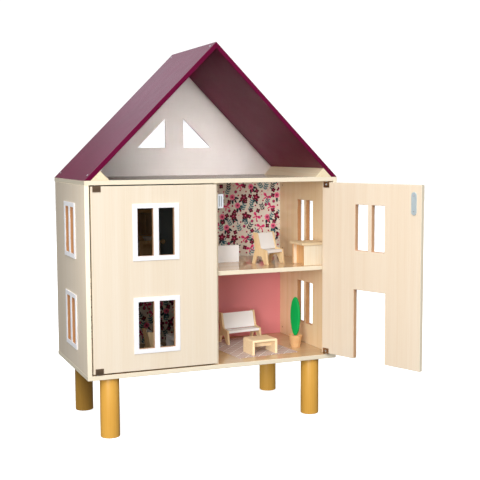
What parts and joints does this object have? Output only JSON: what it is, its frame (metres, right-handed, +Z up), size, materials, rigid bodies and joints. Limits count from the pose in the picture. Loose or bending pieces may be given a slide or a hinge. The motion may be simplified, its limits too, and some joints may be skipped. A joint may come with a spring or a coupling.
{
  "type": "wooden dollhouse",
  "caption": "Wooden dollhouse on round legs with a gable roof, open attic, hinged windowed front doors, a walk-in doorway, and small loose wooden furniture in its rooms.",
  "frame": {"origin": "centre of the bounding box's underside with the right door standing open, on the surface that the legs stand on", "axes": "+Z up, -Y out of the front, +X to the right as seen from the front"},
  "size_m": [0.6774, 0.5614, 0.864],
  "materials": {
    "pale_laminate": "matt wood-effect facing on board",
    "papered_board": "printed board, matt: flowered, rose pink and blue-grey",
    "white_trim": "matt white",
    "ochre_paint": "satin ochre paint over turned wood",
    "zinc_steel": "bright zinc",
    "burgundy_paint": "satin burgundy paint on board",
    "bare_pine": "bare, sanded",
    "grey_white_paint": "semi-gloss warm grey-white",
    "white_plastic": "moulded white",
    "rug_cloth": "flat woven, with a lattice",
    "bronze_steel": "bronze-coloured plating",
    "bare_maple": "bare, sanded",
    "white_paint": "matt white paint",
    "pot_wood": "bare, turned",
    "green_paint": "matt green paint"
  },
  "bodies": {
    "house": {"bottom_panel": "pale_laminate", "top_panel": "pale_laminate", "left_side_panel": "pale_laminate", "right_side_panel": "pale_laminate", "divider_panel": "pale_laminate", "left_shelf": "pale_laminate", "right_shelf": "pale_laminate", "back_panel": "papered_board", "left_side_lower_window_frame": "white_trim", "left_side_upper_window_frame": "white_trim", "right_side_lower_window_frame": "white_trim", "right_side_upper_window_frame": "white_trim", "front_left_leg": "ochre_paint", "front_right_leg": "ochre_paint", "rear_left_leg": "ochre_paint", "rear_right_leg": "ochre_paint", "front_left_leg_bolt": "zinc_steel", "front_right_leg_bolt": "zinc_steel", "rear_left_leg_bolt": "zinc_steel", "rear_right_leg_bolt": "zinc_steel", "left_roof_panel": "burgundy_paint", "right_roof_panel": "burgundy_paint", "left_roof_cleat": "bare_pine", "right_roof_cleat": "bare_pine", "attic_back_panel": "grey_white_paint", "left_magnetic_catch": "white_plastic", "right_magnetic_catch": "white_plastic", "rug": "rug_cloth"},
    "left_door": {"left_door": "pale_laminate", "left_door_lower_window_frame": "white_trim", "left_door_upper_window_frame": "white_trim", "left_door_strike_plate": "zinc_steel", "left_door_upper_hinge_clip": "bronze_steel", "left_door_upper_hinge_pin": "zinc_steel", "left_door_lower_hinge_clip": "bronze_steel", "left_door_lower_hinge_pin": "zinc_steel"},
    "right_door": {"right_door": "pale_laminate", "doorway_frame": "white_trim", "right_door_upper_window_frame": "white_trim", "right_door_strike_plate": "zinc_steel", "right_door_upper_hinge_clip": "bronze_steel", "right_door_upper_hinge_pin": "zinc_steel", "right_door_lower_hinge_clip": "bronze_steel", "right_door_lower_hinge_pin": "zinc_steel"},
    "chair": {"chair_left_side": "bare_maple", "chair_right_side": "bare_maple", "chair_back": "white_paint", "chair_seat": "white_paint"},
    "bench": {"bench_left_side": "bare_maple", "bench_right_side": "bare_maple", "bench_back": "white_paint", "bench_seat": "white_paint"},
    "coffee_table": {"coffee_table": "bare_maple"},
    "desk": {"desk_body": "bare_maple", "desk_top": "bare_maple"},
    "plant": {"plant_pot": "pot_wood", "cactus": "green_paint"},
    "daybed": {"daybed": "white_paint"},
    "washstand": {"washstand": "bare_maple"},
    "dining_table": {"dining_table": "white_paint"}
  },
  "joints": [
    {"name": "left_door_hinge", "type": "hinge", "parent": "house", "child": "left_door", "pos_m": [-0.31396, -0.02033, 0.349], "axis": [0, 0, -1], "range_deg": [0, 125]},
    {"name": "right_door_hinge", "type": "hinge", "parent": "house", "child": "right_door", "pos_m": [0.24004, -0.02033, 0.349], "axis": [0, 0, 1], "range_deg": [-110, 15]},
    {"name": "chair_lift", "type": "slide", "parent": "house", "child": "chair", "axis": [0, 0, 1], "range_m": [0, 0.06]},
    {"name": "bench_lift", "type": "slide", "parent": "house", "child": "bench", "axis": [0, 0, 1], "range_m": [0, 0.06]},
    {"name": "coffee_table_lift", "type": "slide", "parent": "house", "child": "coffee_table", "axis": [0, 0, 1], "range_m": [0, 0.06]},
    {"name": "desk_lift", "type": "slide", "parent": "house", "child": "desk", "axis": [0, 0, 1], "range_m": [0, 0.06]},
    {"name": "plant_lift", "type": "slide", "parent": "house", "child": "plant", "axis": [0, 0, 1], "range_m": [0, 0.06]},
    {"name": "daybed_lift", "type": "slide", "parent": "house", "child": "daybed", "axis": [0, 0, 1], "range_m": [0, 0.06]},
    {"name": "washstand_lift", "type": "slide", "parent": "house", "child": "washstand", "axis": [0, 0, 1], "range_m": [0, 0.06]},
    {"name": "dining_table_lift", "type": "slide", "parent": "house", "child": "dining_table", "axis": [0, 0, 1], "range_m": [0, 0.06]}
  ]
}
